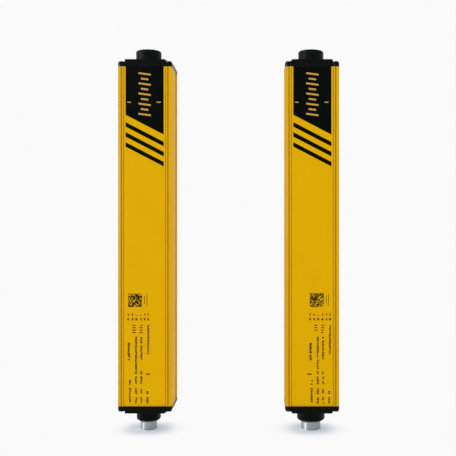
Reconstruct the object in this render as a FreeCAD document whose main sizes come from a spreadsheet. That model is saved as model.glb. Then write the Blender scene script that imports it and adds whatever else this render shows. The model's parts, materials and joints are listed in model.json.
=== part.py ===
import FreeCAD, Part
import math
import os
import Sketcher

# Safety light curtain: a set of two upright bars, the emitter (-X) and the receiver (+X).
# Each bar is an extruded housing between two moulded end caps. The label faces -Y and the
# optical window faces +Y. Z is zero at the mouths of the two connectors, which point down.

os.makedirs("parts", exist_ok=True)
doc = FreeCAD.newDocument("LightCurtain")

# Driving dimensions in millimetres, and counts.
sizes = {
    # the set
    "bar_gap": 79.2,
    # beams, which set the length of the housing
    "beam_count": 20,
    "beam_pitch": 10.0,
    "first_beam_margin": 22.6,
    "last_beam_margin": 25.1,
    # extruded housing
    "bar_width": 38.0,
    "bar_depth": 40.0,
    "front_radius": 2.6,
    "rear_radius": 6.0,
    "front_wall": 2.2,
    "side_wall": 1.8,
    "screw_block": 6.4,
    "rib_height": 1.4,
    "rib_thickness": 1.2,
    "recess_edge": 4.4,
    "recess_depth": 0.35,
    "edge_groove_gap": 1.4,
    "edge_groove_width": 0.6,
    "edge_groove_depth": 0.4,
    "slot_offset": 5.5,
    "slot_opening": 6.5,
    "slot_width": 10.0,
    "slot_lip": 1.6,
    "slot_cavity": 3.2,
    "slot_back_wall": 1.5,
    # optical window and its seals
    "window_width": 24.0,
    "window_thickness": 2.5,
    "window_opening": 20.5,
    "window_lip": 1.4,
    "shelf_opening": 20.0,
    "shelf_thickness": 1.4,
    "seal_width": 1.8,
    "seal_thickness": 1.2,
    # label film and the header printed on it
    "film_edge": 0.2,
    "film_thickness": 0.25,
    "film_low_margin": 1.5,
    "film_high_margin": 0.1,
    "print_edge": 1.1,
    "ink_thickness": 0.06,
    "header_height": 33.8,
    "header_slant": 13.8,
    "first_stripe_gap": 5.1,
    "stripe_height": 3.15,
    "stripe_gap": 3.85,
    # end caps and gaskets
    "gasket_thickness": 0.8,
    "gasket_inset": 0.8,
    "gasket_land": 0.6,
    "flange_thickness": 2.8,
    "plate_side_inset": 4.2,
    "plate_front_inset": 1.2,
    "plate_rise": 2.5,
    "knob_diameter": 18.2,
    "knob_height": 9.2,
    "knob_bevel": 0.7,
    "boss_height": 8.4,
    "boss_bevel": 1.2,
    "boss_floor": 3.4,
    "spigot_depth": 4.0,
    "spigot_wall": 1.6,
    # end cap screws
    "screw_diameter": 2.5,
    "screw_grip": 10.0,
    "screw_head_diameter": 4.4,
    "screw_head_height": 0.9,
    "screw_socket": 1.6,
    "screw_socket_depth": 0.6,
    "screw_front_inset": 2.5,
    "screw_rear_inset": 4.3,
    # beam optics
    "lens_size": 9.2,
    "lens_rise": 1.2,
    "lens_top": 6.4,
    "lens_plate": 1.6,
    "tunnel_size": 7.6,
    # boards
    "board_thickness": 1.6,
    "board_end_gap": 1.0,
    "control_board_length": 120.0,
    "led_length": 3.5,
    "led_width": 2.8,
    "led_height": 1.6,
    "photodiode_length": 5.4,
    "photodiode_width": 4.3,
    "photodiode_height": 1.2,
    "chip_length": 9.9,
    "chip_width": 3.9,
    "chip_height": 1.7,
    "beams_per_chip": 4,
    "status_led_size": 2.0,
    "status_led_height": 0.9,
    "status_led_pitch": 4.0,
    "status_led_gap": 3.6,
    "controller_size": 12.0,
    "controller_height": 1.4,
    "controller_pitch": 18.0,
    "controller_margin": 34.0,
    "capacitor_diameter": 6.3,
    "capacitor_height": 5.4,
    "capacitor_margin": 12.0,
    "transistor_length": 9.0,
    "transistor_width": 6.6,
    "transistor_height": 2.3,
    "transistor_pitch": 11.0,
    "transistor_margin": 74.0,
    "board_header_length": 20.3,
    "board_header_width": 5.0,
    "board_header_inset": 20.0,
    "board_header_offset": 8.0,
    "capacitor_offset": 8.0,
    # connectors
    "connector_reach": 6.6,
    "shell_wall": 1.2,
    "rim_chamfer": 0.4,
    "collar_step": 1.2,
    "collar_thickness": 5.0,
    "socket_depth": 7.0,
    "insert_length": 9.0,
    "pin_diameter": 1.0,
    "pin_setback": 1.0,
    "connector_board_gap": 0.7,
    "connector_board_edge": 1.0,
    "link_header_width": 12.7,
    "link_header_depth": 2.5,
    "link_header_height": 9.0,
    "emitter_thread": 12.0,
    "emitter_boss": 17.3,
    "emitter_pins": 4,
    "emitter_pin_circle": 5.6,
    "receiver_thread": 14.0,
    "receiver_boss": 20.0,
    "receiver_pins": 4,
    "receiver_pin_circle": 7.0,
    "emitter_status_leds": 2,
    "receiver_status_leds": 3,
    # clearances
    "seat_clearance": 0.1,
    "spigot_clearance": 0.2,
    "thread_clearance": 0.05,
    "hole_clearance": 0.2,
    "head_clearance": 0.15,
    "bore_clearance": 0.15,
    "edge_clearance": 0.2,
}

sheet = doc.addObject("Spreadsheet::Sheet", "Dims")
for line, (alias, size) in enumerate(sizes.items(), start=1):
    sheet.set(f"A{line}", alias)
    sheet.set(f"B{line}", str(size))
    sheet.setAlias(f"B{line}", alias)
doc.recompute()

# Heights, from the connector mouths up.
plate_low = "(Dims.connector_reach + Dims.boss_height)"
flange_low = f"({plate_low} + Dims.plate_rise)"
flange_low_inner = f"({flange_low} + Dims.flange_thickness)"
housing_low = flange_low_inner
beam_span = "((Dims.beam_count - 1) * Dims.beam_pitch)"
housing_length = f"(Dims.first_beam_margin + {beam_span} + Dims.last_beam_margin)"
housing_high = f"({housing_low} + {housing_length})"
flange_high_inner = housing_high
first_beam = f"({housing_low} + Dims.first_beam_margin)"
board_margin = "(Dims.spigot_depth + Dims.board_end_gap)"
board_low = f"({housing_low} + {board_margin})"
board_length = f"({housing_length} - 2 * {board_margin})"
optics_low = f"({first_beam} - Dims.beam_pitch / 2)"
optics_length = "(Dims.beam_count * Dims.beam_pitch)"

# Half widths across the bar, from its axis.
half_width = "(Dims.bar_width / 2)"
block_half = f"({half_width} - Dims.screw_block)"
side_half = f"({half_width} - Dims.side_wall)"
rib_half = f"({side_half} - Dims.rib_height)"
core_half = f"({half_width} - Dims.slot_lip - Dims.slot_cavity - Dims.slot_back_wall)"
shelf_half = "(Dims.shelf_opening / 2)"
groove_half = "(Dims.window_width / 2 + Dims.seat_clearance)"
spigot_half = f"(min({block_half}; {core_half}) - Dims.spigot_clearance)"
spigot_inner_half = f"({spigot_half} - Dims.spigot_wall)"
optics_half = f"({core_half} - Dims.seat_clearance)"
board_half = f"({side_half} - Dims.edge_clearance)"
recess_half = f"({half_width} - Dims.recess_edge)"
film_half = f"({recess_half} - Dims.film_edge)"
print_half = f"({film_half} - Dims.print_edge)"

# Depths along the bar's section, from its axis: the label side is negative.
half_depth = "(Dims.bar_depth / 2)"
recess_floor = f"(Dims.recess_depth - {half_depth})"
film_face = f"({recess_floor} - Dims.film_thickness)"
front_inner = f"(Dims.front_wall - {half_depth})"
block_face = f"(Dims.screw_block - {half_depth})"
slot_block_face = "(Dims.slot_offset - Dims.slot_width / 2 - Dims.slot_back_wall)"
lip_inner = f"({half_depth} - Dims.window_lip)"
window_inner = f"({lip_inner} - Dims.window_thickness)"
shelf_face = f"({window_inner} - Dims.seal_thickness)"
shelf_inner = f"({shelf_face} - Dims.shelf_thickness)"
control_board_face = f"({block_face} + Dims.seat_clearance + Dims.board_thickness)"
control_rib_face = f"({control_board_face} + Dims.seat_clearance)"
beam_board_face = f"({slot_block_face} - Dims.seat_clearance)"
beam_board_back = f"({beam_board_face} - Dims.board_thickness)"
beam_rib_face = f"({beam_board_back} - Dims.seat_clearance)"
lens_face = f"({shelf_inner} - Dims.seat_clearance)"
lens_back = f"({lens_face} - Dims.lens_plate)"
spigot_front = f"({front_inner} + Dims.spigot_clearance)"
spigot_rear = f"({shelf_inner} - Dims.spigot_clearance)"

# Connector heights.
collar_low = "(Dims.connector_reach + Dims.boss_floor)"
collar_high = f"({collar_low} + Dims.collar_thickness)"
connector_board_low = f"({flange_low_inner} + Dims.connector_board_gap)"
connector_board_high = f"({connector_board_low} + Dims.board_thickness)"

# The four screws of an end cap, as (x, y) from the bar's axis.
screw_front = (f"({half_width} - Dims.screw_front_inset)", f"(Dims.screw_front_inset - {half_depth})")
screw_rear = (f"({half_width} - Dims.screw_rear_inset)", f"({half_depth} - Dims.screw_rear_inset)")
screw_places = [
    (f"(-{screw_front[0]})", screw_front[1]),
    screw_front,
    screw_rear,
    (f"(-{screw_rear[0]})", screw_rear[1]),
]
hole_diameter = "(Dims.screw_diameter + 2 * Dims.hole_clearance)"

bars = [
    {"name": "emitter", "axis": "-(Dims.bar_gap + Dims.bar_width) / 2"},
    {"name": "receiver", "axis": "(Dims.bar_gap + Dims.bar_width) / 2"},
]
parts = []


# Helpers: every size that reaches a feature is an expression of the sheet.


def number(expression):
    return float(sheet.evalExpression(expression))


def origin(body, role):
    return next(feature for feature in body.Origin.OriginFeatures if feature.Role == role)


def new_body(bar, name):
    label = f"{bar['name']}_{name}"
    body = doc.addObject("PartDesign::Body", label.title().replace("_", ""))
    body.Label = label
    body.AllowCompound = True  # some sub-parts are a group of equal pieces
    body.setExpression("Placement.Base.x", bar["axis"])
    parts.append(body)
    return body


def new_sketch(body, role, offset):
    sketch = body.newObject("Sketcher::SketchObject", f"{body.Name}Sketch")
    sketch.AttachmentSupport = [(origin(body, role), "")]
    sketch.MapMode = "FlatFace"
    sketch.setExpression("AttachmentOffset.Base.z", offset)
    return sketch


def plan(body, height):
    # seen from above: sketch x and y are the bar's X and Y
    return new_sketch(body, "XY_Plane", height)


def elevation(body, depth):
    # seen from the label side: sketch x and y are the bar's X and Z
    return new_sketch(body, "XZ_Plane", f"-({depth})")


def bind(sketch, kind, element, point, expression):
    # a point at zero lies on the sketch's own axis, any other is measured from its origin
    if expression == "0":
        axis = -2 if kind == "DistanceX" else -1
        sketch.addConstraint(Sketcher.Constraint("PointOnObject", element, point, axis))
        return
    place = number(expression)
    index = sketch.addConstraint(Sketcher.Constraint(kind, -1, 1, element, point, place))
    sketch.setExpression(f"Constraints[{index}]", expression)


def tie(sketch, kind, element, expression):
    index = sketch.addConstraint(Sketcher.Constraint(kind, element, number(expression)))
    sketch.setExpression(f"Constraints[{index}]", expression)


def vector(x, y):
    return FreeCAD.Vector(number(x), number(y), 0)


def polygon(sketch, corners):
    first = sketch.GeometryCount
    count = len(corners)
    points = [vector(x, y) for x, y in corners]
    for index in range(count):
        sketch.addGeometry(Part.LineSegment(points[index], points[(index + 1) % count]))
    for index, (x, y) in enumerate(corners):
        before = first + (index - 1) % count
        sketch.addConstraint(Sketcher.Constraint("Coincident", before, 2, first + index, 1))
        bind(sketch, "DistanceX", first + index, 1, x)
        bind(sketch, "DistanceY", first + index, 1, y)


def rectangle(sketch, left, right, low, high):
    polygon(sketch, [(left, low), (right, low), (right, high), (left, high)])


def centred(sketch, half, low, high):
    rectangle(sketch, f"(-{half})", half, low, high)


def circle(sketch, x, y, diameter):
    flat = Part.Circle(vector(x, y), FreeCAD.Vector(0, 0, 1), number(diameter) / 2)
    index = sketch.addGeometry(flat)
    bind(sketch, "DistanceX", index, 3, x)
    bind(sketch, "DistanceY", index, 3, y)
    tie(sketch, "Diameter", index, diameter)


def hexagon(sketch, x, y, across):
    wide = f"({across} / 2)"
    point = f"({across} / sqrt(3))"
    right = f"({x} + {wide})"
    left = f"({x} - {wide})"
    upper = f"({y} + {point} / 2)"
    lower = f"({y} - {point} / 2)"
    polygon(sketch, [(right, lower), (right, upper), (x, f"({y} + {point})"),
                     (left, upper), (left, lower), (x, f"({y} - {point})")])


def section_outline(sketch, inset):
    # anticlockwise round the bar: tight corners at the label side, full ones at the window
    wide = f"({half_width} - {inset})"
    deep = f"({half_depth} - {inset})"
    tight = f"(Dims.front_radius - {inset})"
    full = f"(Dims.rear_radius - {inset})"
    corners = [(1, -1, tight), (1, 1, full), (-1, 1, full), (-1, -1, tight)]
    ends = []
    for quarter, (side, face, radius) in enumerate(corners):
        on_face = (f"({side} * ({wide} - {radius}))", f"({face} * {deep})")
        on_side = (f"({side} * {wide})", f"({face} * ({deep} - {radius}))")
        ends.append((on_side, on_face) if side == face else (on_face, on_side))
        centre = vector(on_face[0], on_side[1])
        round_arc = Part.Circle(centre, FreeCAD.Vector(0, 0, 1), number(radius))
        start_turn = (quarter - 1) * math.pi / 2
        sketch.addGeometry(Part.ArcOfCircle(round_arc, start_turn, start_turn + math.pi / 2))
    for quarter, (side, face, radius) in enumerate(corners):
        start, stop = ends[quarter]
        following = ends[(quarter + 1) % 4][0]
        line = sketch.addGeometry(Part.LineSegment(vector(*stop), vector(*following)))
        sketch.addConstraint(Sketcher.Constraint("Coincident", quarter, 2, line, 1))
        sketch.addConstraint(Sketcher.Constraint("Coincident", (quarter + 1) % 4, 1, line, 2))
        for point, (x, y) in ((1, start), (2, stop)):
            bind(sketch, "DistanceX", quarter, point, x)
            bind(sketch, "DistanceY", quarter, point, y)
        tie(sketch, "Radius", quarter, radius)


def notched(sketch, wide, deep, clear):
    # a rectangle whose corners are cut square to stay clear of the screws
    x_front = f"({screw_front[0]} - {clear})"
    y_front = f"({screw_front[1]} + {clear})"
    x_rear = f"({screw_rear[0]} - {clear})"
    y_rear = f"({screw_rear[1]} - {clear})"
    right = [(x_front, f"(-{deep})"), (x_front, y_front), (wide, y_front),
             (wide, y_rear), (x_rear, y_rear), (x_rear, deep)]
    polygon(sketch, right + [(f"(-{x})", y) for x, y in reversed(right)])


def finish(body, feature):
    body.Tip = feature
    doc.recompute()
    return feature


def pad(body, sketch, length, reverse=False):
    feature = body.newObject("PartDesign::Pad", f"{body.Name}Pad")
    feature.Profile = sketch
    feature.Reversed = reverse
    feature.setExpression("Length", length)
    return finish(body, feature)


def pocket(body, sketch, length, reverse=False):
    before = body.Shape.Volume
    feature = body.newObject("PartDesign::Pocket", f"{body.Name}Pocket")
    feature.Profile = sketch
    feature.Reversed = reverse
    feature.setExpression("Length", length)
    finish(body, feature)
    if not body.Shape.Volume < before:
        raise RuntimeError(f"{feature.Name} of {body.Label} cuts nothing")
    return feature


def turned(body, corners):
    # corners are radius and height, turned about the bar's axis
    sketch = elevation(body, "0")
    polygon(sketch, corners)
    feature = body.newObject("PartDesign::Revolution", f"{body.Name}Turned")
    feature.Profile = sketch
    feature.ReferenceAxis = (origin(body, "Z_Axis"), [""])
    feature.Angle = 360
    return finish(body, feature)


def mirrored(body, originals):
    feature = body.newObject("PartDesign::Mirrored", f"{body.Name}Mirrored")
    feature.Originals = originals
    feature.MirrorPlane = (origin(body, "YZ_Plane"), [""])
    return finish(body, feature)


def in_row(body, originals, role, pitch, count):
    feature = body.newObject("PartDesign::LinearPattern", f"{body.Name}Row")
    feature.Originals = originals
    feature.Direction = (origin(body, role), [""])
    feature.setExpression("Length", f"{pitch} * ({count} - 1)")
    feature.setExpression("Occurrences", count)
    return finish(body, feature)


def in_circle(body, originals, count):
    feature = body.newObject("PartDesign::PolarPattern", f"{body.Name}Circle")
    feature.Originals = originals
    feature.Axis = (origin(body, "Z_Axis"), [""])
    feature.Angle = 360
    feature.setExpression("Occurrences", count)
    return finish(body, feature)


# The extruded housing and what slides into it.


def make_housing(bar):
    body = new_body(bar, "housing")
    outline = plan(body, housing_low)
    section_outline(outline, "0")
    pad(body, outline, housing_length)

    # the hollow: its half width, and the depth where that width starts
    steps = [
        (block_half, front_inner),
        (side_half, block_face),
        (rib_half, control_rib_face),
        (side_half, f"({control_rib_face} + Dims.rib_thickness)"),
        (rib_half, f"({beam_rib_face} - Dims.rib_thickness)"),
        (side_half, beam_rib_face),
        (core_half, slot_block_face),
        (shelf_half, shelf_inner),
        (groove_half, shelf_face),
        ("(Dims.window_opening / 2)", lip_inner),
    ]
    outside = f"({half_depth} + Dims.window_lip)"
    starts = [start for half, start in steps]
    right = []
    for (half, start), stop in zip(steps, starts[1:] + [outside]):
        right += [(half, start), (half, stop)]
    left = [(f"(-{half})", depth) for half, depth in reversed(right)]
    hollow = plan(body, housing_low)
    polygon(hollow, right + left)
    pocket(body, hollow, housing_length, reverse=True)

    # T-slot in each flank
    slot_floor = f"({half_width} - Dims.slot_lip - Dims.slot_cavity)"
    lip_back = f"({half_width} - Dims.slot_lip)"
    clear = f"({half_width} + Dims.slot_lip)"
    wide = ["(Dims.slot_offset - Dims.slot_width / 2)", "(Dims.slot_offset + Dims.slot_width / 2)"]
    mouth = ["(Dims.slot_offset - Dims.slot_opening / 2)", "(Dims.slot_offset + Dims.slot_opening / 2)"]
    slot = plan(body, housing_low)
    polygon(slot, [(slot_floor, wide[0]), (lip_back, wide[0]), (lip_back, mouth[0]), (clear, mouth[0]),
                   (clear, mouth[1]), (lip_back, mouth[1]), (lip_back, wide[1]), (slot_floor, wide[1])])
    mirrored(body, [pocket(body, slot, housing_length, reverse=True)])

    # recess for the label film, and the fine groove along each edge of that face
    recess = plan(body, housing_low)
    centred(recess, recess_half, f"(-{half_depth} - Dims.recess_depth)", recess_floor)
    pocket(body, recess, housing_length, reverse=True)
    groove = plan(body, housing_low)
    groove_start = f"({recess_half} + Dims.edge_groove_gap)"
    rectangle(groove, groove_start, f"({groove_start} + Dims.edge_groove_width)",
              f"(-{half_depth} - Dims.edge_groove_depth)", f"(Dims.edge_groove_depth - {half_depth})")
    mirrored(body, [pocket(body, groove, housing_length, reverse=True)])

    # channels that the end cap screws cut their thread in
    channels = plan(body, housing_low)
    for x, y in screw_places:
        circle(channels, x, y, "(Dims.screw_diameter + 2 * Dims.thread_clearance)")
    pocket(body, channels, housing_length, reverse=True)


def make_window(bar):
    body = new_body(bar, "window")
    sketch = plan(body, housing_low)
    centred(sketch, "(Dims.window_width / 2)", window_inner, lip_inner)
    pad(body, sketch, housing_length)


def make_window_seal(bar, name, side):
    body = new_body(bar, name)
    near = f"({side} * ({shelf_half} + Dims.seat_clearance))"
    far = f"({side} * ({shelf_half} + Dims.seat_clearance + Dims.seal_width))"
    sketch = plan(body, housing_low)
    rectangle(sketch, near, far, shelf_face, window_inner)
    pad(body, sketch, housing_length)


def make_label(bar):
    film_low = f"({housing_low} + Dims.film_low_margin)"
    film_high = f"({housing_high} - Dims.film_high_margin)"
    film = new_body(bar, "label")
    sheet_outline = elevation(film, recess_floor)
    centred(sheet_outline, film_half, film_low, film_high)
    pad(film, sheet_outline, "Dims.film_thickness")

    # dark header field with a slanted lower edge, and the stripes that run parallel to it
    left = f"(-{print_half})"
    right = print_half
    low_left = f"({film_high} - Dims.header_height)"
    printed = new_body(bar, "header_print")
    ink = elevation(printed, film_face)
    polygon(ink, [(left, low_left), (right, f"({low_left} - Dims.header_slant)"),
                  (right, film_high), (left, film_high)])
    for stripe in range(3):
        high = f"({low_left} - Dims.first_stripe_gap - {stripe} * (Dims.stripe_height + Dims.stripe_gap))"
        low = f"({high} - Dims.stripe_height)"
        polygon(ink, [(left, low), (right, f"({low} - Dims.header_slant)"),
                      (right, f"({high} - Dims.header_slant)"), (left, high)])
    pad(printed, ink, "Dims.ink_thickness")


# End caps, gaskets and screws. A cap is built outwards from the face that meets its gasket.


def gasket_outline(sketch, extra):
    notched(sketch, f"({half_width} - Dims.gasket_inset + {extra})",
            f"({half_depth} - Dims.gasket_inset + {extra})",
            f"({hole_diameter} / 2 + Dims.gasket_land - {extra})")


def make_gasket(bar, name, height):
    body = new_body(bar, name)
    outline = plan(body, height)
    gasket_outline(outline, "0")
    pad(body, outline, "Dims.gasket_thickness")
    opening = plan(body, height)
    centred(opening, f"({spigot_half} + Dims.seat_clearance)", f"({spigot_front} - Dims.seat_clearance)",
            f"({spigot_rear} + Dims.seat_clearance)")
    pocket(body, opening, "Dims.gasket_thickness", reverse=True)


def make_cap(bar, name, inner_face, outward, stub_diameter, stub_height, stub_bevel):
    # outward is + for the top cap and - for the bottom one
    up = outward == "+"
    body = new_body(bar, name)
    flange = plan(body, inner_face)
    section_outline(flange, "0")
    pad(body, flange, "Dims.flange_thickness", reverse=not up)
    flange_face = f"({inner_face} {outward} Dims.flange_thickness)"

    # raised plate, its corners cut back round the screw heads
    plate = plan(body, flange_face)
    notched(plate, f"({half_width} - Dims.plate_side_inset)", f"({half_depth} - Dims.plate_front_inset)",
            "(Dims.screw_head_diameter / 2 + Dims.head_clearance)")
    pad(body, plate, "Dims.plate_rise", reverse=not up)
    plate_face = f"({flange_face} {outward} Dims.plate_rise)"

    # round stub that a pivot bracket grips
    stub = plan(body, plate_face)
    circle(stub, "0", "0", stub_diameter)
    sharp = pad(body, stub, stub_height, reverse=not up)
    face_height = number(f"{plate_face} {outward} {stub_height}")
    rim = [f"Edge{index}" for index, edge in enumerate(body.Shape.Edges, start=1)
           if max(abs(edge.BoundBox.ZMin - face_height), abs(edge.BoundBox.ZMax - face_height)) < 1e-4]
    bevel = body.newObject("PartDesign::Chamfer", f"{body.Name}Bevel")
    bevel.Base = (sharp, rim)
    bevel.setExpression("Size", stub_bevel)
    finish(body, bevel)

    holes = plan(body, flange_face)
    for x, y in screw_places:
        circle(holes, x, y, hole_diameter)
    pocket(body, holes, "Dims.flange_thickness", reverse=not up)

    # seat for the gasket, and the spigot that plugs into the housing through it
    seat = plan(body, inner_face)
    gasket_outline(seat, "Dims.seat_clearance")
    pocket(body, seat, "Dims.gasket_thickness", reverse=up)
    seat_face = f"({inner_face} {outward} Dims.gasket_thickness)"
    spigot = plan(body, seat_face)
    centred(spigot, spigot_half, spigot_front, spigot_rear)
    pad(body, spigot, "Dims.gasket_thickness + Dims.spigot_depth", reverse=up)
    chamber = plan(body, seat_face)
    centred(chamber, spigot_inner_half, f"({spigot_front} + Dims.spigot_wall)",
            f"({spigot_rear} - Dims.spigot_wall)")
    pocket(body, chamber, "Dims.gasket_thickness + Dims.spigot_depth", reverse=not up)
    return body, seat_face


def make_top_cap(bar):
    make_cap(bar, "top_cap", flange_high_inner, "+", "Dims.knob_diameter", "Dims.knob_height",
             "Dims.knob_bevel")


def make_bottom_cap(bar):
    body, seat_face = make_cap(bar, "bottom_cap", flange_low_inner, "-", bar["boss"], "Dims.boss_height",
                               "Dims.boss_bevel")
    counterbore = plan(body, seat_face)
    circle(counterbore, "0", "0", f"(2 * ({bar['collar']} + Dims.seat_clearance))")
    pocket(body, counterbore, f"{seat_face} - {collar_low}")
    bore = plan(body, collar_low)
    circle(bore, "0", "0", f"({bar['thread']} + 2 * Dims.bore_clearance)")
    pocket(body, bore, "Dims.boss_floor")


def make_screws(bar, name, inner_face, outward):
    up = outward == "+"
    body = new_body(bar, name)
    seat = f"({inner_face} {outward} Dims.flange_thickness)"
    head_face = f"({seat} {outward} Dims.screw_head_height)"
    heads = plan(body, seat)
    shanks = plan(body, seat)
    sockets = plan(body, head_face)
    for x, y in screw_places:
        circle(heads, x, y, "Dims.screw_head_diameter")
        circle(shanks, x, y, "Dims.screw_diameter")
        hexagon(sockets, x, y, "Dims.screw_socket")
    pad(body, heads, "Dims.screw_head_height", reverse=not up)
    pad(body, shanks, "Dims.screw_grip", reverse=up)
    pocket(body, sockets, "Dims.screw_socket_depth", reverse=not up)


# Beam optics and the two boards.


def make_optics(bar):
    block = new_body(bar, "optics_block")
    outline = elevation(block, beam_board_face)
    centred(outline, optics_half, optics_low, f"({optics_low} + {optics_length})")
    pad(block, outline, f"{lens_back} - {beam_board_face}", reverse=True)
    tunnel = elevation(block, beam_board_face)
    centred(tunnel, "(Dims.tunnel_size / 2)", f"({first_beam} - Dims.tunnel_size / 2)",
            f"({first_beam} + Dims.tunnel_size / 2)")
    first_tunnel = pocket(block, tunnel, f"{lens_back} - {beam_board_face}")
    in_row(block, [first_tunnel], "Z_Axis", "Dims.beam_pitch", "Dims.beam_count")

    # plate with one square-cut lens in front of each tunnel, bevelled on its four sides
    strip = new_body(bar, "lens_strip")
    plate = elevation(strip, lens_back)
    centred(plate, optics_half, optics_low, f"({optics_low} + {optics_length})")
    pad(strip, plate, "Dims.lens_plate", reverse=True)
    lens_half = "(Dims.lens_size / 2)"
    top_half = "(Dims.lens_top / 2)"
    apex = f"({lens_face} + Dims.lens_rise)"
    crown = new_sketch(strip, "YZ_Plane", f"-{lens_half}")
    polygon(crown, [(lens_face, f"({first_beam} - {lens_half})"), (apex, f"({first_beam} - {top_half})"),
                    (apex, f"({first_beam} + {top_half})"), (lens_face, f"({first_beam} + {lens_half})")])
    in_row(strip, [pad(strip, crown, "Dims.lens_size")], "Z_Axis", "Dims.beam_pitch", "Dims.beam_count")
    bevel = plan(strip, optics_low)
    polygon(bevel, [(lens_half, lens_face), (lens_half, apex), (top_half, apex)])
    mirrored(strip, [pocket(strip, bevel, optics_length, reverse=True)])


def make_board(bar, name, back, face, length):
    body = new_body(bar, name)
    outline = elevation(body, face)
    centred(outline, board_half, board_low, f"({board_low} + {length})")
    pad(body, outline, f"{face} - {back}")


def make_block(bar, name, face, toward_window, x, z, width, length, height):
    # a rectangular component that stands on a board's face, centred at x and z
    body = new_body(bar, name)
    outline = elevation(body, face)
    rectangle(outline, f"({x} - {width} / 2)", f"({x} + {width} / 2)",
              f"({z} - {length} / 2)", f"({z} + {length} / 2)")
    return body, pad(body, outline, height, reverse=toward_window)


def make_diodes(bar):
    # one diode behind each lens
    size = f"Dims.{bar['diode']}"
    body, case = make_block(bar, bar["diodes"], beam_board_face, True, "0", first_beam,
                            f"{size}_width", f"{size}_length", f"{size}_height")
    in_row(body, [case], "Z_Axis", "Dims.beam_pitch", "Dims.beam_count")


def make_electronics(bar):
    make_board(bar, "beam_board", beam_board_back, beam_board_face, board_length)
    control_back = f"({control_board_face} - Dims.board_thickness)"
    make_board(bar, "control_board", control_back, control_board_face, "Dims.control_board_length")

    # one driver or amplifier chip for each group of beams, on the back of the beam board
    chip_pitch = "Dims.beams_per_chip * Dims.beam_pitch"
    first_chip = f"({first_beam} + (Dims.beams_per_chip - 1) * Dims.beam_pitch / 2)"
    chips, chip = make_block(bar, bar["chips"], beam_board_back, False, "0", first_chip,
                             "Dims.chip_width", "Dims.chip_length", "Dims.chip_height")
    in_row(chips, [chip], "Z_Axis", chip_pitch, "floor(Dims.beam_count / Dims.beams_per_chip)")

    # indicator lights below the lowest beam, seen through the window
    lamp_count = f"Dims.{bar['name']}_status_leds"
    lamp_x = f"(-({lamp_count} - 1) * Dims.status_led_pitch / 2)"
    lamp_z = f"({optics_low} - Dims.status_led_gap)"
    lamps, lamp = make_block(bar, "status_leds", beam_board_face, True, lamp_x, lamp_z,
                             "Dims.status_led_size", "Dims.status_led_size", "Dims.status_led_height")
    in_row(lamps, [lamp], "X_Axis", "Dims.status_led_pitch", lamp_count)

    # the control board's parts stand in the gap between the boards
    header_x = "(Dims.board_header_offset + Dims.board_header_width / 2)"
    header_z = f"({board_low} + Dims.control_board_length - Dims.board_header_inset)"
    make_block(bar, "board_header", control_board_face, True, header_x, header_z,
               "Dims.board_header_width", "Dims.board_header_length",
               f"{beam_board_back} - {control_board_face}")
    controllers, controller = make_block(
        bar, bar["controller"], control_board_face, True, "0", f"({board_low} + Dims.controller_margin)",
        "Dims.controller_size", "Dims.controller_size", "Dims.controller_height")
    if bar["name"] == "receiver":
        in_row(controllers, [controller], "Z_Axis", "Dims.controller_pitch", "2")
        outputs, output = make_block(
            bar, "output_transistors", control_board_face, True, "0",
            f"({board_low} + Dims.transistor_margin)",
            "Dims.transistor_width", "Dims.transistor_length", "Dims.transistor_height")
        in_row(outputs, [output], "Z_Axis", "Dims.transistor_pitch", "2")
    capacitor = new_body(bar, "capacitor")
    can = elevation(capacitor, control_board_face)
    circle(can, "(-Dims.capacitor_offset)", f"({board_low} + Dims.capacitor_margin)",
           "Dims.capacitor_diameter")
    pad(capacitor, can, "Dims.capacitor_height", reverse=True)


# The connector under each bar. Its collar rests on the floor of its cap's counterbore.


def make_connector(bar):
    outer = f"({bar['thread']} / 2)"
    inner = f"({outer} - Dims.shell_wall)"
    collar = bar["collar"]
    turned(new_body(bar, "connector_shell"), [
        (inner, "0"),
        (f"({outer} - Dims.rim_chamfer)", "0"),
        (outer, "Dims.rim_chamfer"),
        (outer, collar_low),
        (collar, collar_low),
        (collar, collar_high),
        (inner, collar_high),
    ])

    insert = new_body(bar, "connector_insert")
    carrier = plan(insert, "Dims.socket_depth")
    circle(carrier, "0", "0", f"(2 * ({inner} - Dims.thread_clearance))")
    pad(insert, carrier, "Dims.insert_length")
    hole_size = "(Dims.pin_diameter + 2 * Dims.thread_clearance)"
    hole = plan(insert, "Dims.socket_depth")
    circle(hole, bar["pin_circle"], "0", hole_size)
    in_circle(insert, [pocket(insert, hole, "Dims.insert_length", reverse=True)], bar["pins"])
    pins = new_body(bar, "connector_pins")
    length = f"{connector_board_low} - Dims.pin_setback"
    pin = plan(pins, "Dims.pin_setback")
    circle(pin, bar["pin_circle"], "0", "Dims.pin_diameter")
    in_circle(pins, [pad(pins, pin, length)], bar["pins"])
    if bar["centre_pin"]:
        middle_hole = plan(insert, "Dims.socket_depth")
        circle(middle_hole, "0", "0", hole_size)
        pocket(insert, middle_hole, "Dims.insert_length", reverse=True)
        middle = plan(pins, "Dims.pin_setback")
        circle(middle, "0", "0", "Dims.pin_diameter")
        pad(pins, middle, length)

    board = new_body(bar, "connector_board")
    outline = plan(board, connector_board_low)
    centred(outline, f"({spigot_inner_half} - Dims.connector_board_edge)",
            f"({spigot_front} + Dims.spigot_wall + Dims.connector_board_edge)",
            f"({spigot_rear} - Dims.spigot_wall - Dims.connector_board_edge)")
    pad(board, outline, "Dims.board_thickness")

    header = new_body(bar, "link_header")
    foot = plan(header, connector_board_high)
    centred(foot, "(Dims.link_header_width / 2)", control_board_face,
            f"({control_board_face} + Dims.link_header_depth)")
    pad(header, foot, "Dims.link_header_height")


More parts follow.
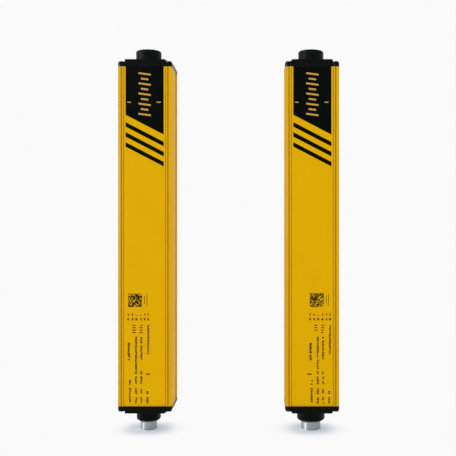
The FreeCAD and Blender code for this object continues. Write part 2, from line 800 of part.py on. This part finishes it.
for bar in bars:
    kind = bar["name"]
    bar["thread"] = f"Dims.{kind}_thread"
    bar["boss"] = f"Dims.{kind}_boss"
    bar["collar"] = f"(Dims.{kind}_thread / 2 + Dims.collar_step)"
    bar["pins"] = f"Dims.{kind}_pins"
    bar["pin_circle"] = f"(Dims.{kind}_pin_circle / 2)"
    bar["centre_pin"] = kind == "receiver"
    bar["chips"] = "driver_chips" if kind == "emitter" else "amplifier_chips"
    bar["controller"] = "controller" if kind == "emitter" else "controllers"
    bar["diodes"] = "infrared_leds" if kind == "emitter" else "photodiodes"
    bar["diode"] = "led" if kind == "emitter" else "photodiode"
    make_housing(bar)
    make_window(bar)
    make_window_seal(bar, "window_seal_left", -1)
    make_window_seal(bar, "window_seal_right", 1)
    make_label(bar)
    make_gasket(bar, "top_gasket", housing_high)
    make_gasket(bar, "bottom_gasket", f"({flange_low_inner} - Dims.gasket_thickness)")
    make_top_cap(bar)
    make_bottom_cap(bar)
    make_screws(bar, "top_screws", flange_high_inner, "+")
    make_screws(bar, "bottom_screws", flange_low_inner, "-")
    make_optics(bar)
    make_electronics(bar)
    make_connector(bar)
    make_diodes(bar)

doc.recompute()
for thing in doc.Objects:
    if "Invalid" in thing.State or "Error" in thing.State:
        raise RuntimeError(f"{thing.Label} did not build: {thing.State}")
for body in parts:
    if body.Shape.isNull() or not body.Shape.isValid() or not body.Shape.Solids:
        raise RuntimeError(f"{body.Label} has no valid solid")
    body.Shape.exportStep(f"parts/{body.Label}.step")
    print(f"{body.Label}: {len(body.Shape.Solids)} solids, {body.Shape.Volume:.1f} mm3")
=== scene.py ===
import json
import math
import random

import bmesh
import bpy
from mathutils import Matrix, Vector


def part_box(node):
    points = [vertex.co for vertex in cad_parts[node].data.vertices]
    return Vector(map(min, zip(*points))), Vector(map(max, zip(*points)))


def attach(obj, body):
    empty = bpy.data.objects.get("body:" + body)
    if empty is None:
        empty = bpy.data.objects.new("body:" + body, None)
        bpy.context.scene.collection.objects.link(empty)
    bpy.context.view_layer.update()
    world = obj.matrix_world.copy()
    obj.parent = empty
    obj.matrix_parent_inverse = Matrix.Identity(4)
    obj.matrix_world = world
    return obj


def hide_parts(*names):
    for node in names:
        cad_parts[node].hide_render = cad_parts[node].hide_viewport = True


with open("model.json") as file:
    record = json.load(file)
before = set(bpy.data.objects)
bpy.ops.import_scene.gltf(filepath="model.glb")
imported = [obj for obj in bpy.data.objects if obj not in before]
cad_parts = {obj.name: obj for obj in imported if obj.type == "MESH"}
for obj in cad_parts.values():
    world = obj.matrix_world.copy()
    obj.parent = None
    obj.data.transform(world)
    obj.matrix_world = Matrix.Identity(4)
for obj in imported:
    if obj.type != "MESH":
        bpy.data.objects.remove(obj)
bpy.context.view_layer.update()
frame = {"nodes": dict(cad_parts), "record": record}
mm = 0.001
bars = ("emitter", "receiver")


def linear(hexColour):
    channels = [int(hexColour[i:i + 2], 16) / 255 for i in (0, 2, 4)]
    curve = [c / 12.92 if c <= 0.04045 else ((c + 0.055) / 1.055) ** 2.4 for c in channels]
    return (*curve, 1.0)


def addNode(tree, kind, inputs=None, **settings):
    node = tree.nodes.new(kind)
    for key, value in settings.items():
        setattr(node, key, value)
    for socket, value in (inputs or {}).items():
        if isinstance(value, bpy.types.NodeSocket):
            tree.links.new(value, node.inputs[socket])
        else:
            node.inputs[socket].default_value = value
    return node


def newObject(name, mesh, material, smoothAngle=None):
    piece = bpy.data.objects.new(name, mesh)
    bpy.context.scene.collection.objects.link(piece)
    mesh.materials.append(material)
    if smoothAngle is not None:
        mesh.shade_smooth()
        mesh.set_sharp_from_angle(angle=math.radians(smoothAngle))
    return piece


def fromBuild(name, build, material, smoothAngle=None):
    mesh = bpy.data.meshes.new(name)
    build.to_mesh(mesh)
    build.free()
    return newObject(name, mesh, material, smoothAngle)


def addBox(build, low, high):
    middle = [(a + b) / 2 for a, b in zip(low, high)]
    size = [b - a for a, b in zip(low, high)]
    place = Matrix.Translation(middle) @ Matrix.Diagonal((*size, 1))
    return bmesh.ops.create_cube(build, size=1, matrix=place)["verts"]


def boxes(name, solids, material):
    # solids are (lowest corner, highest corner) pairs in metres
    build = bmesh.new()
    for low, high in solids:
        addBox(build, low, high)
    return fromBuild(name, build, material)


# one finish for each slot of the record: what it is, how its surface was made and what that gives the eye
# dark and light are the ends of its colour, and rough those of its roughness
# grain and cloud are the sizes of its fine and broad pattern in mm, and relief is the grain's height in mm
# gloss is its specular level, clear its share of transmission, and stretch draws the grain out along an axis
# a real grain under about 0.1 mm is drawn at 0.15 to 0.5 mm, so that it shows
finishes = {
    # aluminium extrusion, powder coated yellow: sprayed and baked, a soft satin with faint orange peel,
    # and painted shade in the fine grooves of the label face, a darker yellow where shade would fall
    "yellow_paint": {
        "name": "powderCoatedAluminium", "dark": "DCA808", "light": "E0AE0C", "grooveShade": "B88606",
        "grain": 0.9, "cloud": 30.0, "relief": 0.012, "rough": (0.42, 0.52), "ior": 1.5, "gloss": 0.035,
    },
    # polyester film, printed from behind and calendered: a flat, even satin
    "label_film": {
        "name": "satinPolyesterFilm", "dark": "E1AC00", "light": "E5B102",
        "grain": 0.25, "cloud": 22.0, "relief": 0.003, "rough": (0.42, 0.52), "ior": 1.57, "gloss": 0.02,
    },
    # screen-printed ink: a dense even black, a touch flatter than the film
    "black_ink": {
        "name": "screenPrintedBlackInk", "dark": "030706", "light": "070C0A",
        "grain": 0.2, "cloud": 12.0, "relief": 0.002, "rough": (0.45, 0.53), "ior": 1.5, "gloss": 0.02,
    },
    # glass-filled polyamide, moulded in a spark-eroded tool: deep black, a soft sheen along its edges
    "cap_plastic": {
        "name": "mouldedPolyamide", "dark": "040707", "light": "080C0C",
        "grain": 0.5, "cloud": 9.0, "relief": 0.010, "rough": (0.30, 0.42), "ior": 1.53, "gloss": 0.05,
    },
    # infrared-pass acrylic, cast and polished: near black, deep red where light comes through
    "window_acrylic": {
        "name": "polishedRedAcrylic", "dark": "34050A", "light": "40080E", "clear": 0.45,
        "grain": 6.0, "cloud": 20.0, "relief": 0.001, "rough": (0.04, 0.07), "ior": 1.49, "gloss": 0.36,
    },
    # nitrile rubber, die cut: dull, a little dusty
    "seal_rubber": {
        "name": "dieCutRubber", "dark": "101010", "light": "181818",
        "grain": 0.8, "cloud": 6.0, "relief": 0.020, "rough": (0.70, 0.82), "ior": 1.52, "gloss": 0.2,
    },
    # steel, turned and black oxidised: dark with a thin oily glint
    "screw_steel": {
        "name": "blackOxideSteel", "dark": "17181A", "light": "222427", "metal": True,
        "grain": 0.25, "cloud": 3.0, "relief": 0.004, "rough": (0.34, 0.44),
    },
    # ABS, moulded matt so that no stray light crosses the tunnels
    "optics_plastic": {
        "name": "mattMouldedAbs", "dark": "0B0B0B", "light": "121212",
        "grain": 0.5, "cloud": 8.0, "relief": 0.010, "rough": (0.55, 0.67), "ior": 1.54, "gloss": 0.2,
    },
    # clear acrylic, moulded in a polished tool: glassy lenses
    "lens_acrylic": {
        "name": "mouldedClearAcrylic", "dark": "D9DEE0", "light": "E6EAEA", "clear": 0.9,
        "grain": 3.0, "cloud": 15.0, "relief": 0.001, "rough": (0.03, 0.06), "ior": 1.49, "gloss": 0.5,
    },
    # glass-epoxy laminate under green solder mask: a wavy, slightly glossy coat
    "board_laminate": {
        "name": "solderMaskedLaminate", "dark": "0E4A24", "light": "145A2D",
        "grain": 1.2, "cloud": 10.0, "relief": 0.020, "rough": (0.35, 0.47), "ior": 1.55, "gloss": 0.4,
    },
    # epoxy, transfer moulded: a fine matt black
    "chip_resin": {
        "name": "mouldedEpoxy", "dark": "121213", "light": "1A1A1C",
        "grain": 0.15, "cloud": 3.0, "relief": 0.006, "rough": (0.50, 0.62), "ior": 1.55, "gloss": 0.3,
    },
    # smoke-tinted epoxy, cast: smooth and glossy
    "diode_resin": {
        "name": "castTintedEpoxy", "dark": "4A423C", "light": "5A524A",
        "grain": 0.4, "cloud": 3.0, "relief": 0.002, "rough": (0.15, 0.25), "ior": 1.55, "gloss": 0.5,
    },
    # milky epoxy, cast: soft and pale
    "lamp_resin": {
        "name": "castMilkyEpoxy", "dark": "C9C8BE", "light": "D8D7CD",
        "grain": 0.4, "cloud": 2.0, "relief": 0.004, "rough": (0.25, 0.37), "ior": 1.55, "gloss": 0.5,
    },
    # PBT, moulded: a plain satin black
    "header_plastic": {
        "name": "mouldedPbt", "dark": "141414", "light": "1B1B1B",
        "grain": 0.5, "cloud": 4.0, "relief": 0.006, "rough": (0.45, 0.57), "ior": 1.55, "gloss": 0.3,
    },
    # aluminium, deep drawn: pale with fine upright streaks
    "capacitor_can": {
        "name": "drawnAluminium", "dark": "B9BABC", "light": "CCCDCF", "metal": True,
        "stretch": (1, 1, 0.1),
        "grain": 0.25, "cloud": 4.0, "relief": 0.004, "rough": (0.31, 0.41),
    },
    # brass, turned and nickel plated: a bright cool silver with faint turning rings
    "nickel_plate": {
        "name": "nickelPlatedBrass", "dark": "8E9293", "light": "A0A3A4", "metal": True,
        "stretch": (0.15, 0.15, 1),
        "grain": 0.5, "cloud": 5.0, "relief": 0.003, "rough": (0.28, 0.36),
    },
    # polyamide, moulded: the pin carrier, a satin black
    "insert_plastic": {
        "name": "mouldedInsertPolyamide", "dark": "131314", "light": "1B1B1C",
        "grain": 0.5, "cloud": 4.0, "relief": 0.006, "rough": (0.45, 0.57), "ior": 1.53, "gloss": 0.3,
    },
    # copper alloy pins, gold plated: small warm glints
    "pin_gold": {
        "name": "goldPlatedPins", "dark": "D2A64A", "light": "E2BA60", "metal": True,
        "grain": 0.25, "cloud": 2.0, "relief": 0.002, "rough": (0.16, 0.26),
    },
}
# two inks that lie on the label, beside the header's black one
inks = {
    # dark brown-black ink in a fine screen print: the film's yellow shows at its edges
    "small": {
        "name": "finePrintedInk", "dark": "261B04", "light": "322408",
        "grain": 0.2, "cloud": 4.0, "relief": 0.001, "rough": (0.50, 0.58), "ior": 1.5, "gloss": 0.05,
    },
    # bronze-gold ink, screen printed: flat, with no metal shine
    "gold": {
        "name": "screenPrintedGoldInk", "dark": "C6973A", "light": "D2A448",
        "grain": 0.2, "cloud": 4.0, "relief": 0.001, "rough": (0.45, 0.53), "ior": 1.5, "gloss": 0.05,
    },
}
# the film's edge and the fine groove on the label face, where painted shade darkens the paint: in mm from a
# bar's axis, and where that face lies
grooves = {"places": (14.5, 16.3), "half": 0.32, "soft": 0.22, "face": 19.0}
barAxis = sum(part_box("receiver_label")[side][0] for side in (0, 1)) / 2


def paintedGrooveShadeMask(tree, place):
    # painted shade: 1 along the places of the grooves on the label face, 0 elsewhere
    split = addNode(tree, "ShaderNodeSeparateXYZ", {0: place})
    mirrored = addNode(tree, "ShaderNodeMath", {0: split.outputs["X"]}, operation="ABSOLUTE")
    offAxis = addNode(tree, "ShaderNodeMath", {0: mirrored.outputs[0], 1: barAxis}, operation="SUBTRACT")
    side = addNode(tree, "ShaderNodeMath", {0: offAxis.outputs[0]}, operation="ABSOLUTE")
    lines = []
    for line in grooves["places"]:
        away = addNode(tree, "ShaderNodeMath", {0: side.outputs[0], 1: line * mm}, operation="SUBTRACT")
        gap = addNode(tree, "ShaderNodeMath", {0: away.outputs[0]}, operation="ABSOLUTE")
        lines.append(addNode(tree, "ShaderNodeMapRange", {
            "Value": gap.outputs[0], "From Min": grooves["half"] * mm,
            "From Max": (grooves["half"] + grooves["soft"]) * mm, "To Min": 1.0, "To Max": 0.0,
        }, interpolation_type="SMOOTHSTEP"))
    both = addNode(tree, "ShaderNodeMath", {0: lines[0].outputs[0], 1: lines[1].outputs[0]},
                   operation="MAXIMUM")
    front = addNode(tree, "ShaderNodeMath", {0: split.outputs["Y"], 1: -grooves["face"] * mm},
                    operation="LESS_THAN")
    return addNode(tree, "ShaderNodeMath", {0: both.outputs[0], 1: front.outputs[0]}, operation="MULTIPLY")


def makeFinish(look):
    material = bpy.data.materials.new(look["name"])
    material.use_nodes = True
    tree = material.node_tree
    tree.nodes.clear()
    place = addNode(tree, "ShaderNodeTexCoord").outputs["Object"]
    drawn = addNode(tree, "ShaderNodeMapping", {"Vector": place, "Scale": look.get("stretch", (1, 1, 1))})
    grain = addNode(tree, "ShaderNodeTexNoise", {
        "Vector": drawn.outputs["Vector"], "Scale": 1 / (look["grain"] * mm),
        "Detail": 3.0, "Roughness": 0.55,
    })
    cloud = addNode(tree, "ShaderNodeTexNoise", {
        "Vector": place, "Scale": 1 / (look["cloud"] * mm), "Detail": 2.0,
    })
    colour = addNode(tree, "ShaderNodeMix", {
        "Factor": cloud.outputs["Fac"], "A": linear(look["dark"]), "B": linear(look["light"]),
    }, data_type="RGBA")
    # painted shade: the paint turns a darker yellow along the label face's grooves, where shade would fall
    if "grooveShade" in look:
        colour = addNode(tree, "ShaderNodeMix", {
            "Factor": paintedGrooveShadeMask(tree, place).outputs[0], "A": colour.outputs["Result"],
            "B": linear(look["grooveShade"]),
        }, data_type="RGBA")
    rough = addNode(tree, "ShaderNodeMapRange", {
        "Value": grain.outputs["Fac"], "To Min": look["rough"][0], "To Max": look["rough"][1],
    })
    bump = addNode(tree, "ShaderNodeBump", {
        "Height": grain.outputs["Fac"], "Distance": look["relief"] * mm, "Strength": 0.5,
    })
    surface = {"Base Color": colour.outputs["Result"], "Roughness": rough.outputs[0],
               "Normal": bump.outputs["Normal"]}
    if look.get("metal"):
        surface["Metallic"] = 1.0
    else:
        surface.update({"IOR": look["ior"], "Specular IOR Level": look["gloss"],
                        "Transmission Weight": look.get("clear", 0.0)})
    shader = addNode(tree, "ShaderNodeBsdfPrincipled", surface)
    addNode(tree, "ShaderNodeOutputMaterial", {"Surface": shader.outputs["BSDF"]})
    return material


materials = {slot: makeFinish(look) for slot, look in finishes.items()}
slotOf = {part["node"]: part["material_slot"] for part in frame["record"]["subparts"]}
for node, piece in frame["nodes"].items():
    piece.data.materials.clear()
    piece.data.materials.append(materials[slotOf[node]])
print("materials set on", len(frame["nodes"]), "nodes")


darkPrint = makeFinish(inks["small"])
goldPrint = makeFinish(inks["gold"])
inkSink = 0.01 * mm  # print reaches this far into the film, and stands twice this far off it


def plate(face, left, right, low, high):
    return ((left, face - 2 * inkSink, low), (right, face + inkSink, high))


# fine gold ticks level with the last beam, in mm: how far each is from the header's edge, and its length
headerTicks = {"left": 1.25, "leftLength": 2.4, "right": 2.05, "rightLength": 2.8, "height": 0.75}
# a column of plain slanted gold strokes, wide and narrow in turn, from "drop" below the last beam, in mm
headerStrokes = {"count": 9, "pitch": 3.55, "line": 1.2, "slant": 1.1, "drop": 9.2, "halves": (4.3, 2.6)}


def headerPrint(bar, lastBeam):
    low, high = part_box(f"{bar}_header_print")
    face = low[1]
    centre = (low[0] + high[0]) / 2
    rise = headerTicks["height"] / 2 * mm
    spans = (
        (low[0] + headerTicks["left"] * mm, headerTicks["leftLength"]),
        (high[0] - (headerTicks["right"] + headerTicks["rightLength"]) * mm, headerTicks["rightLength"]),
    )
    gold = [plate(face, x, x + wide * mm, lastBeam - rise, lastBeam + rise) for x, wide in spans]
    piece = boxes(f"{bar}_header_ticks", gold, goldPrint)
    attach(piece, "root")

    widest = 2 * headerStrokes["halves"][0]
    build = bmesh.new()
    for index in range(headerStrokes["count"]):
        half = headerStrokes["halves"][index % 2] * mm
        foot = lastBeam + (index * headerStrokes["pitch"] - headerStrokes["drop"]) * mm
        stroke = plate(face, centre - half, centre + half, foot, foot + headerStrokes["line"] * mm)
        for point in addBox(build, *stroke):
            point.co.z -= (point.co.x - centre) / widest * headerStrokes["slant"]
    piece = fromBuild(f"{bar}_header_strokes", build, goldPrint)
    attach(piece, "root")


# small print, which is read from the side: x from the film's left edge and z from its low edge, in mm
# one short bar stands for each letter, and no letter, word or code can be read
labelPrint = {
    "code": {"cells": 17, "size": 9.7, "left": 2.9, "low": 68.0, "fill": 0.72, "ink": 0.97},
    "rules": {"width": 0.35, "places": ((14.3, 70.1, 75.7), (16.0, 68.7, 77.0))},  # beside the code
    "heads": {"columns": (3.0, 5.9, 8.7, 11.7, 14.5, 16.9), "run": (58.7, 60.4), "foot": 61.9,
              "footLength": (1.2, 2.4)},
    "heavy": (3.4, 30.8, 43.5),
    "large": {"columns": (7.0, 11.9), "run": (49.8, 56.2)},
    "lines": {
        16.9: ((35.1, 56.5),),
        8.4: ((21.1, 47.7), (14.1, 19.7), (7.1, 12.0), (0.6, 5.4)),
        12.1: ((31.2, 47.7), (21.1, 24.2), (14.1, 19.7), (7.6, 11.1), (0.6, 5.7)),
        4.1: ((13.7, 17.6), (1.5, 12.4)),
        16.4: ((7.2, 10.3), (0.6, 5.4)),
    },
    "tickHeight": 0.9,
}
# height of the letters, distance from one to the next, and the inked share of that distance
lettering = {
    "plain": {"tall": 1.45, "pitch": 1.15, "fill": 0.8},
    "head": {"tall": 1.35, "pitch": 0.85, "fill": 0.95},
    "foot": {"tall": 1.0, "pitch": 0.95, "fill": 0.8},
    "heavy": {"tall": 1.7, "pitch": 0.95, "fill": 0.92},
    "large": {"tall": 2.2, "pitch": 1.7, "fill": 0.45},
}
# the share of letters that are there, how much shorter one can be, its least width, and a line's slack
letterChance = {"shown": 0.94, "shorter": (0, 0, 0.2, 0.3), "narrowest": 0.8, "slack": 0.01}


def smallPrint(bar, shift, tick, firstBeam):
    low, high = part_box(f"{bar}_label")
    face = low[1]
    rng = random.Random(f"{bar} label")
    dark = []

    def strip(x, wide, z0, z1):
        left = low[0] + (x + shift - wide / 2) * mm
        dark.append(plate(face, left, left + wide * mm, low[2] + z0 * mm, low[2] + z1 * mm))

    def words(x, z0, z1, kind="plain"):
        tall, pitch, fill = (lettering[kind][key] for key in ("tall", "pitch", "fill"))
        z = z0
        while z + pitch * fill <= z1 + letterChance["slack"]:
            if rng.random() < letterChance["shown"]:
                inset = rng.choice(letterChance["shorter"]) * tall
                side = rng.choice((-1, 1)) * inset / 2
                wide = pitch * fill * rng.uniform(letterChance["narrowest"], 1.0)
                strip(x + side, tall - inset, z, z + wide)
            z += pitch

    code = labelPrint["code"]
    cell = code["size"] / code["cells"]
    for row in range(code["cells"]):
        for column in range(code["cells"]):
            if rng.random() < code["fill"]:
                z = code["low"] + row * cell
                strip(code["left"] + (column + 0.5) * cell, cell * code["ink"], z, z + cell * code["ink"])
    for x, z0, z1 in labelPrint["rules"]["places"]:
        strip(x, labelPrint["rules"]["width"], z0, z1)
    heads = labelPrint["heads"]
    for x in heads["columns"]:
        words(x, *heads["run"], "head")
        words(x, heads["foot"], heads["foot"] + rng.uniform(*heads["footLength"]), "foot")
    words(*labelPrint["heavy"], "heavy")
    for x in labelPrint["large"]["columns"]:
        words(x, *labelPrint["large"]["run"], "large")
    for x, runs in labelPrint["lines"].items():
        for z0, z1 in runs:
            words(x, z0, z1)

    # a fine tick level with the first beam
    tickLeft = (low[0] + high[0]) / 2 + tick["from"] * mm
    rise = labelPrint["tickHeight"] / 2 * mm
    dark.append(plate(face, tickLeft, tickLeft + tick["length"] * mm, firstBeam - rise, firstBeam + rise))
    piece = boxes(f"{bar}_small_print", dark, darkPrint)
    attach(piece, "root")


# what differs from bar to bar, in mm: half a diode's height, since its row ends that far past the last beam,
# how far right the small print lies, and the low tick's start from the film's middle and its length
printed = {
    "emitter": {"diodes": "infrared_leds", "halfDiode": 1.75, "shift": 0.0,
                "tick": {"from": 0.9, "length": 2.7}},
    "receiver": {"diodes": "photodiodes", "halfDiode": 2.7, "shift": 9.8,
                 "tick": {"from": -3.5, "length": 3.1}},
}
for bar, what in printed.items():
    diodesLow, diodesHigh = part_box(f"{bar}_{what['diodes']}")
    headerPrint(bar, diodesHigh[2] - what["halfDiode"] * mm)
    smallPrint(bar, what["shift"], what["tick"], diodesLow[2] + what["halfDiode"] * mm)
print("label print done")


# threaded connector barrel, in mm: the thread's crest lies "inset" within the collar, which starts "seat"
# above the mouth, and the thread ends "stop" below the boss
# the thread is drawn shallow, so that one bright highlight runs down the barrel
barrel = {
    "inset": 1.2, "wall": 1.2, "seat": 10.0, "stop": 0.8,
    "chamfer": 0.5, "mouthChamfer": 0.2,  # at the mouth, outside and inside
    "relief": 0.25, "reliefSlope": 0.1, "reliefEnd": 0.05,  # plain neck between the thread and the boss
    "pitch": 1.0, "depth": 0.06, "rounding": 0.8,
    "fadeOut": 0.6, "fadeIn": 0.4, "firstRidge": 0.2,  # how the thread fades at its ends
    "steps": 96, "perTurn": 8,  # points round the barrel, and rows for one turn of the thread
}


def threadedBarrel(bar):
    low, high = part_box(f"{bar}_connector_shell")
    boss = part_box(f"{bar}_bottom_cap")[0][2]
    centre = ((low[0] + high[0]) / 2, (low[1] + high[1]) / 2)
    collar = (high[0] - low[0]) / 2
    outer = collar - barrel["inset"] * mm
    inner = outer - barrel["wall"] * mm
    neck = outer - barrel["relief"] * mm
    pitch = barrel["pitch"] * mm
    depth = barrel["depth"] * mm
    stop = boss - barrel["stop"] * mm
    seat = low[2] + barrel["seat"] * mm
    start = low[2] + barrel["chamfer"] * mm
    build = bmesh.new()

    def crest(turn, z):
        # the radius rises and falls with height, and lags with the turn, so the ridges form one helix
        phase = ((z - start) / pitch - turn) % 1.0
        fade = min(1.0, (stop - z) / (barrel["fadeOut"] * mm),
                   (z - start) / (barrel["fadeIn"] * mm) + barrel["firstRidge"])
        return outer - depth * fade * abs(2 * phase - 1) ** barrel["rounding"]

    def circleAt(radius, z):
        points = []
        for step in range(barrel["steps"]):
            angle = 2 * math.pi * step / barrel["steps"]
            reach = radius(step / barrel["steps"], z) if callable(radius) else radius
            points.append(build.verts.new((centre[0] + reach * math.cos(angle),
                                           centre[1] + reach * math.sin(angle), z)))
        return points

    loops = [
        circleAt(inner, high[2]),
        circleAt(inner, low[2] + barrel["mouthChamfer"] * mm),
        circleAt(inner + barrel["mouthChamfer"] * mm, low[2]),
        circleAt(outer - barrel["chamfer"] * mm - depth / 2, low[2]),
    ]
    rows = int((stop - start) / pitch * barrel["perTurn"])
    for row in range(rows + 1):
        loops.append(circleAt(crest, start + (stop - start) * row / rows))
    loops += [
        circleAt(neck, stop + barrel["reliefSlope"] * mm),
        circleAt(neck, boss - barrel["reliefEnd"] * mm),
        circleAt(outer, boss),
        circleAt(outer, seat),
        circleAt(collar, seat),
        circleAt(collar, high[2]),
    ]
    for first, second in zip(loops, loops[1:] + loops[:1]):
        for step in range(barrel["steps"]):
            after = (step + 1) % barrel["steps"]
            build.faces.new((first[step], first[after], second[after], second[step]))
    bmesh.ops.recalc_face_normals(build, faces=build.faces)
    piece = fromBuild(f"{bar}_threaded_barrel", build, materials["nickel_plate"], smoothAngle=50)
    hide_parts(f"{bar}_connector_shell")
    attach(piece, "root")


# rounded edges of the moulded, turned and extruded pieces: width in mm, and the least angle that is rounded
roundings = {
    "top_cap": {"width": 0.25, "segments": 3, "angle": 35},
    "bottom_cap": {"width": 0.25, "segments": 3, "angle": 35},
    "top_screws": {"width": 0.15, "segments": 2, "angle": 35},
    "bottom_screws": {"width": 0.15, "segments": 2, "angle": 35},
    "housing": {"width": 0.08, "segments": 2, "angle": 50},
}
weldGap = 0.002 * mm  # joins the points that neighbouring CAD faces share


def soften(node, edge):
    piece = frame["nodes"][node]
    weld = piece.modifiers.new("weld", "WELD")
    weld.merge_threshold = weldGap
    bevel = piece.modifiers.new("bevel", "BEVEL")
    bevel.width = edge["width"] * mm
    bevel.segments = edge["segments"]
    bevel.limit_method = "ANGLE"
    bevel.angle_limit = math.radians(edge["angle"])
    bevel.use_clamp_overlap = True
    bevel.harden_normals = True


for bar in bars:
    threadedBarrel(bar)
    for part, edge in roundings.items():
        soften(f"{bar}_{part}", edge)
print("barrels and rounded edges done")


backdropWhite = 0.956
floorLook = {
    "shade": (0.82, 0.76, 0.69),  # how much of each channel the object's shadow can take away
    "lit": (0.93, 0.905, 0.865),  # level of the light on the open floor, which the yellow bars warm
    "fade": (0.006, 0.031),  # from a bar's axis outwards, in metres, the floor turns into plain backdrop
    "bounce": 0.8,  # how much of the light on it the floor throws up at the object
    "reach": 4.0,  # half its side, in metres
}


def stageFloor():
    reach = floorLook["reach"]
    mesh = bpy.data.meshes.new("floor")
    mesh.from_pydata([(-reach, -reach, 0), (reach, -reach, 0), (reach, reach, 0), (-reach, reach, 0)],
                     [], [(0, 1, 2, 3)])
    material = bpy.data.materials.new("floorWhite")
    material.use_nodes = True
    tree = material.node_tree
    tree.nodes.clear()
    place = addNode(tree, "ShaderNodeTexCoord")
    split = addNode(tree, "ShaderNodeSeparateXYZ", {0: place.outputs["Object"]})
    mirrored = addNode(tree, "ShaderNodeMath", {0: split.outputs["X"]}, operation="ABSOLUTE")
    across = addNode(tree, "ShaderNodeMath", {0: mirrored.outputs[0], 1: barAxis}, operation="SUBTRACT")
    fromBar = addNode(tree, "ShaderNodeCombineXYZ", {"X": across.outputs[0], "Y": split.outputs["Y"]})
    distance = addNode(tree, "ShaderNodeVectorMath", {0: fromBar.outputs[0]}, operation="LENGTH")
    start, end = floorLook["fade"]
    far = addNode(tree, "ShaderNodeMapRange", {
        "Value": distance.outputs["Value"], "From Min": start, "From Max": end,
    }, interpolation_type="SMOOTHSTEP")
    shade = floorLook["shade"]
    rest = [backdropWhite - part * level for part, level in zip(shade, floorLook["lit"])]
    shadowed = addNode(tree, "ShaderNodeBsdfDiffuse", {"Color": (*shade, 1)})
    glow = addNode(tree, "ShaderNodeEmission", {"Color": (*rest, 1)})
    near = addNode(tree, "ShaderNodeAddShader", {0: shadowed.outputs[0], 1: glow.outputs[0]})
    plain = addNode(tree, "ShaderNodeEmission", {"Color": (backdropWhite, backdropWhite, backdropWhite, 1)})
    shown = addNode(tree, "ShaderNodeMixShader", {0: far.outputs[0], 1: near.outputs[0], 2: plain.outputs[0]})
    rays = addNode(tree, "ShaderNodeLightPath")
    bounce = addNode(tree, "ShaderNodeBsdfDiffuse", {"Color": (*(floorLook["bounce"],) * 3, 1)})
    pick = addNode(tree, "ShaderNodeMixShader", {
        0: rays.outputs["Is Diffuse Ray"], 1: shown.outputs[0], 2: bounce.outputs[0],
    })
    addNode(tree, "ShaderNodeOutputMaterial", {"Surface": pick.outputs[0]})
    newObject("floor", mesh, material)


lightTent = {"ambient": 0.81}  # even light on the object from all round


def surroundings():
    # the eye, gloss and clear parts see the white backdrop, and only the even light falls on the object
    world = bpy.data.worlds.new("lightTent")
    bpy.context.scene.world = world
    world.use_nodes = True
    tree = world.node_tree
    tree.nodes.clear()
    rays = addNode(tree, "ShaderNodeLightPath")
    seen = addNode(tree, "ShaderNodeMath", {
        0: rays.outputs["Is Camera Ray"], 1: rays.outputs["Is Glossy Ray"],
    }, operation="MAXIMUM")
    seen = addNode(tree, "ShaderNodeMath", {
        0: seen.outputs[0], 1: rays.outputs["Is Transmission Ray"],
    }, operation="MAXIMUM")
    ambient = addNode(tree, "ShaderNodeBackground", {"Color": (1, 1, 1, 1), "Strength": lightTent["ambient"]})
    backdrop = addNode(tree, "ShaderNodeBackground", {"Color": (1, 1, 1, 1), "Strength": backdropWhite})
    pick = addNode(tree, "ShaderNodeMixShader", {
        0: seen.outputs[0], 1: ambient.outputs[0], 2: backdrop.outputs[0],
    })
    addNode(tree, "ShaderNodeOutputWorld", {"Surface": pick.outputs[0]})


# a lamp either fills evenly or, as a strip beside the object, shows only as a highlight in its gloss
# places, aims and sizes in metres
lamps = {
    "leftStrip": {"place": (-0.75, -0.27, 0.255), "aim": (0, 0, 0.19), "size": (0.07, 0.23), "watts": 19.0,
                  "colour": "F0F6FF", "fills": False},
    "lowStrip": {"place": (-0.75, -0.27, 0.07), "aim": (0, 0, 0.01), "size": (0.05, 0.09), "watts": 0.7,
                 "colour": "F0F6FF", "fills": False},
    "frontSoft": {"place": (-0.25, -1.1, 0.75), "aim": (0, 0, 0.14), "size": (0.9, 0.6), "watts": 1.9,
                  "colour": "FFFFFF", "fills": True},
    "topSoft": {"place": (0.0, 0.1, 1.1), "aim": (0, 0, 0.1), "size": (0.9, 0.9), "watts": 3.0,
                "colour": "FFFFFF", "fills": True},
}


def softLight(name, lamp):
    light = bpy.data.lights.new(name, "AREA")
    light.shape = "RECTANGLE"
    light.size, light.size_y = lamp["size"]
    light.energy = lamp["watts"]
    light.color = linear(lamp["colour"])[:3]
    holder = bpy.data.objects.new(name, light)
    bpy.context.scene.collection.objects.link(holder)
    holder.location = lamp["place"]
    direction = Vector(lamp["aim"]) - Vector(lamp["place"])
    holder.rotation_euler = direction.to_track_quat("-Z", "Y").to_euler()
    holder.visible_diffuse = lamp["fills"]
    holder.visible_glossy = not lamp["fills"]


# level and square to the labels, right of the middle, with the frame shifted back to centre
# in metres, with the lens and its sensor in mm
view = {"distance": 0.579, "aside": 0.027, "height": 0.145, "lens": 63.16, "sensor": 36.0, "shift": -0.0858,
        "nearest": 0.01, "farthest": 50}


def addCamera():
    camera = bpy.data.objects.new("camera", bpy.data.cameras.new("camera"))
    bpy.context.scene.collection.objects.link(camera)
    camera.data.sensor_width = view["sensor"]
    camera.data.lens = view["lens"]
    camera.data.shift_x = view["shift"]
    camera.data.clip_start = view["nearest"]
    camera.data.clip_end = view["farthest"]
    camera.location = (view["aside"], -view["distance"], view["height"])
    camera.rotation_euler = (math.pi / 2, 0, 0)
    bpy.context.scene.camera = camera


stageFloor()
surroundings()
for name, lamp in lamps.items():
    softLight(name, lamp)
addCamera()
print("stage done")

scene = bpy.context.scene
scene.view_settings.view_transform = "Standard"
